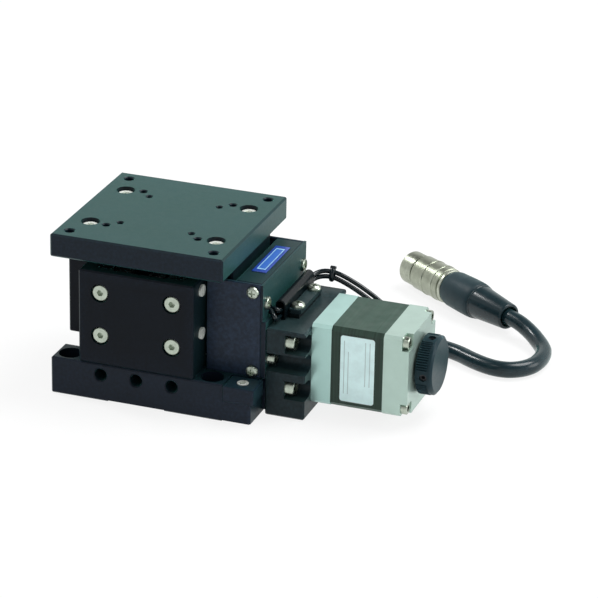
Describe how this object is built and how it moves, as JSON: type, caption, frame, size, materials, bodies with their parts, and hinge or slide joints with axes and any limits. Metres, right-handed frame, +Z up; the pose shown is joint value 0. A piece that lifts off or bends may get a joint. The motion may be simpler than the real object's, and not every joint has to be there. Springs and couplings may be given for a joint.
{
  "type": "motorised vertical translation stage",
  "caption": "Motor-driven vertical stage: square threaded table on crossed-roller guides, lifted by a wedge and lead screw, with hand knob, cable and round connector.",
  "frame": {"origin": "centre of the base's four mounting holes, on the mounting face", "axes": "+X along the lead screw towards the motor and hand knob, +Y to the back, away from the base edge with three holes, +Z up, the way the table moves"},
  "size_m": [0.1474, 0.1374, 0.0565],
  "materials": {
    "black_anodised": "satin anodised",
    "table_anodised": "satin anodised",
    "hard_steel": "ground",
    "spring_steel": "drawn",
    "steel_screws": "nickel plated",
    "black_steel": "black oxide",
    "plain_aluminium": "machined",
    "motor_laminations": "semi-gloss",
    "bronze": "machined",
    "coupling_plastic": "matt",
    "sensor_plastic": "matt",
    "plate_blue": "gloss",
    "knob_plastic": "satin anodised",
    "cable_jacket": "semi-gloss",
    "nickel": "nickel plated"
  },
  "bodies": {
    "base": {"base_plate": "black_anodised", "base_screws": "steel_screws", "corner_block": "black_anodised", "corner_block_screw": "black_steel", "front_guide_block": "black_anodised", "rear_guide_block": "black_anodised", "rail_screws": "steel_screws", "fixed_rails": "hard_steel", "preload_screws": "steel_screws", "lower_spring_pin": "hard_steel", "return_springs": "spring_steel", "slide_rail": "hard_steel", "slide_rail_screws": "steel_screws", "ball_bearings": "hard_steel", "end_block": "black_anodised", "limit_sensor": "sensor_plastic", "front_cover": "black_anodised", "rear_cover": "black_anodised", "pan_screws": "steel_screws", "end_cover": "black_anodised", "end_cover_screws": "steel_screws", "bearing_cap": "black_anodised", "bearing_cap_screws": "steel_screws", "name_plate": "plate_blue", "motor_bracket": "black_anodised", "bracket_screws": "steel_screws", "wire_cover": "sensor_plastic", "clamp_plate": "black_anodised", "motor_mount_screws": "steel_screws", "motor_front_flange": "plain_aluminium", "motor_stator": "motor_laminations", "motor_rear_bracket": "plain_aluminium", "motor_screws": "steel_screws", "sensor_wires": "cable_jacket", "cable_tie": "sensor_plastic", "cable": "cable_jacket", "cable_boot": "cable_jacket", "connector_barrel": "cable_jacket", "connector_shell": "nickel"},
    "table": {"moving_rails": "hard_steel", "moving_rail_screws": "steel_screws", "carriage": "black_anodised", "table_plate": "table_anodised", "table_screws": "steel_screws", "follower_pin": "hard_steel", "follower_spacers": "hard_steel", "upper_spring_pin": "hard_steel"},
    "follower": {"follower_roller": "hard_steel"},
    "cages": {"roller_cages": "bronze", "guide_rollers": "hard_steel"},
    "wedge": {"slide_block": "hard_steel", "wedge_block": "plain_aluminium", "ramp_strip": "hard_steel", "drive_nut": "bronze"},
    "screw": {"lead_screw": "hard_steel", "coupling_hubs": "plain_aluminium", "coupling_disc": "coupling_plastic", "motor_shaft": "hard_steel", "hand_knob": "knob_plastic", "knob_set_screws": "black_steel"}
  },
  "joints": [
    {"name": "screw_spin", "type": "hinge", "parent": "base", "child": "screw", "pos_m": [0, 0, 0.0183], "axis": [1, 0, 0], "range_deg": [-1800, 1800]},
    {"name": "wedge_slide", "type": "slide", "parent": "base", "child": "wedge", "axis": [1, 0, 0], "range_m": [-0.005, 0.005]},
    {"name": "table_lift", "type": "slide", "parent": "base", "child": "table", "axis": [0, 0, 1], "range_m": [-0.0025, 0.0025], "deforming": ["return_springs"]},
    {"name": "cage_lift", "type": "slide", "parent": "base", "child": "cages", "axis": [0, 0, 1], "range_m": [-0.00125, 0.00125]},
    {"name": "follower_roll", "type": "hinge", "parent": "table", "child": "follower", "pos_m": [0, 0, 0.0354], "axis": [0, 1, 0], "range_deg": [-60, 60]}
  ],
  "couplings": [
    {"joint": "wedge_slide", "follows": "table_lift", "ratio": -2},
    {"joint": "cage_lift", "follows": "table_lift", "ratio": 0.5},
    {"joint": "screw_spin", "follows": "table_lift", "rad_per_m": 12566},
    {"joint": "follower_roll", "follows": "table_lift", "rad_per_m": 406.56}
  ]
}
